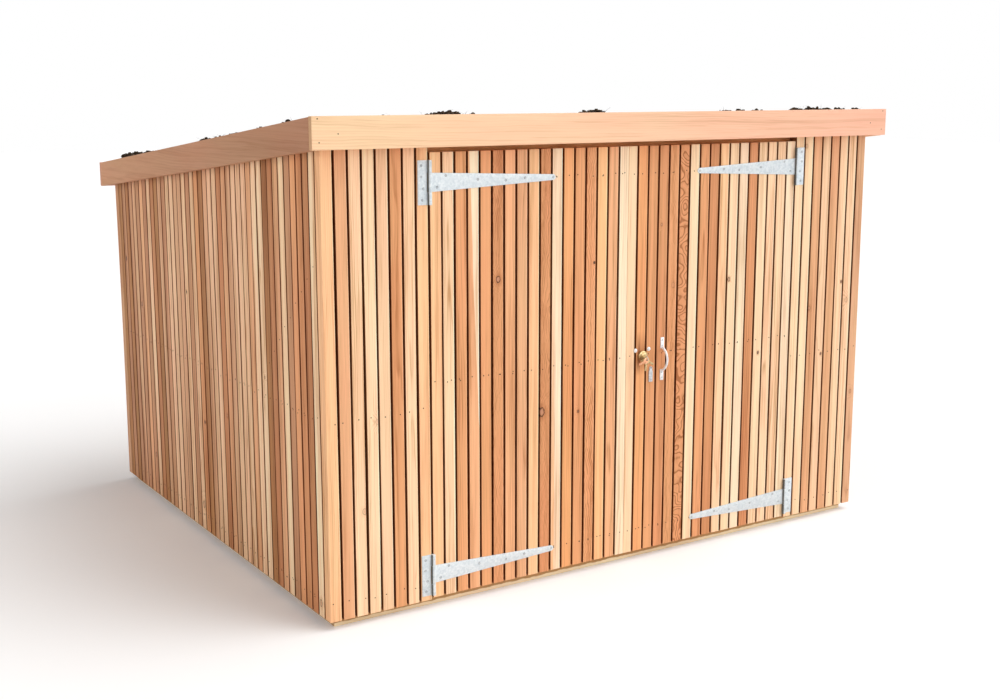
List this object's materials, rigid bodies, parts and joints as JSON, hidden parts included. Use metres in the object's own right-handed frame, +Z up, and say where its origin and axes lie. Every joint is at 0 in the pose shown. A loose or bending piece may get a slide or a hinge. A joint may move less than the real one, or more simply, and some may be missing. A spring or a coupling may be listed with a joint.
{
  "type": "slatted timber bike shelter",
  "caption": "Lockable bike shelter of upright square timber battens with a pair of outward doors on long tee hinges and a shallow pitched growing-tray roof.",
  "frame": {"origin": "on the ground under the middle of the roof's outline", "axes": "+X to the right along the front, +Y from the front to the back, +Z up"},
  "size_m": [2.272, 1.9966, 1.511],
  "materials": {
    "cedar_battens": "planed untreated cedar, varied board to board",
    "frame_timber": "sawn softwood",
    "floor_board": "pale deck sheet",
    "fascia_board": "planed cedar board",
    "roof_board": "plywood sheet",
    "growing_medium": "dry crumbly roof soil",
    "galvanised_steel": "mottled hot dip galvanised",
    "handle_steel": "galvanised bar",
    "lock_brass": "satin brass",
    "lock_case_metal": "dark enamel",
    "bolt_heads": "bright zinc dome",
    "latch_zinc": "bright zinc plate"
  },
  "bodies": {
    "shelter": {"floor_deck": "floor_board", "corner_posts": "frame_timber", "door_posts": "frame_timber", "door_head": "frame_timber", "left_wall_rails": "frame_timber", "right_wall_rails": "frame_timber", "back_wall_rails": "frame_timber", "front_panel_rails": "frame_timber", "front_left_battens": "cedar_battens", "front_right_battens": "cedar_battens", "left_wall_battens": "cedar_battens", "right_wall_battens": "cedar_battens", "back_wall_battens": "cedar_battens", "rafters": "frame_timber", "roof_deck": "roof_board", "growing_medium": "growing_medium", "front_fascia": "fascia_board", "back_fascia": "fascia_board", "left_fascia": "fascia_board", "right_fascia": "fascia_board", "left_upper_flap": "galvanised_steel", "left_lower_flap": "galvanised_steel", "right_upper_flap": "galvanised_steel", "right_lower_flap": "galvanised_steel", "left_wall_brace": "frame_timber", "right_wall_brace": "frame_timber"},
    "left_door": {"left_door_battens": "cedar_battens", "left_door_ledges": "frame_timber", "left_door_braces": "frame_timber", "left_upper_strap": "galvanised_steel", "left_lower_strap": "galvanised_steel", "lock_keep": "lock_case_metal"},
    "right_door": {"right_door_battens": "cedar_battens", "right_door_ledges": "frame_timber", "right_door_braces": "frame_timber", "right_upper_strap": "galvanised_steel", "right_lower_strap": "galvanised_steel", "pull_handle": "handle_steel", "lock_cylinder": "lock_brass", "lock_case": "lock_case_metal", "lock_bolts": "bolt_heads", "latch_plate": "latch_zinc", "key_bunch": "lock_brass"}
  },
  "joints": [
    {"name": "left_door_hinge", "type": "hinge", "parent": "shelter", "child": "left_door", "pos_m": [-0.74225, -0.95375, 0.711], "axis": [0, 0, -1], "range_deg": [0, 170]},
    {"name": "right_door_hinge", "type": "hinge", "parent": "shelter", "child": "right_door", "pos_m": [0.74225, -0.95375, 0.711], "axis": [0, 0, 1], "range_deg": [0, 170]}
  ]
}
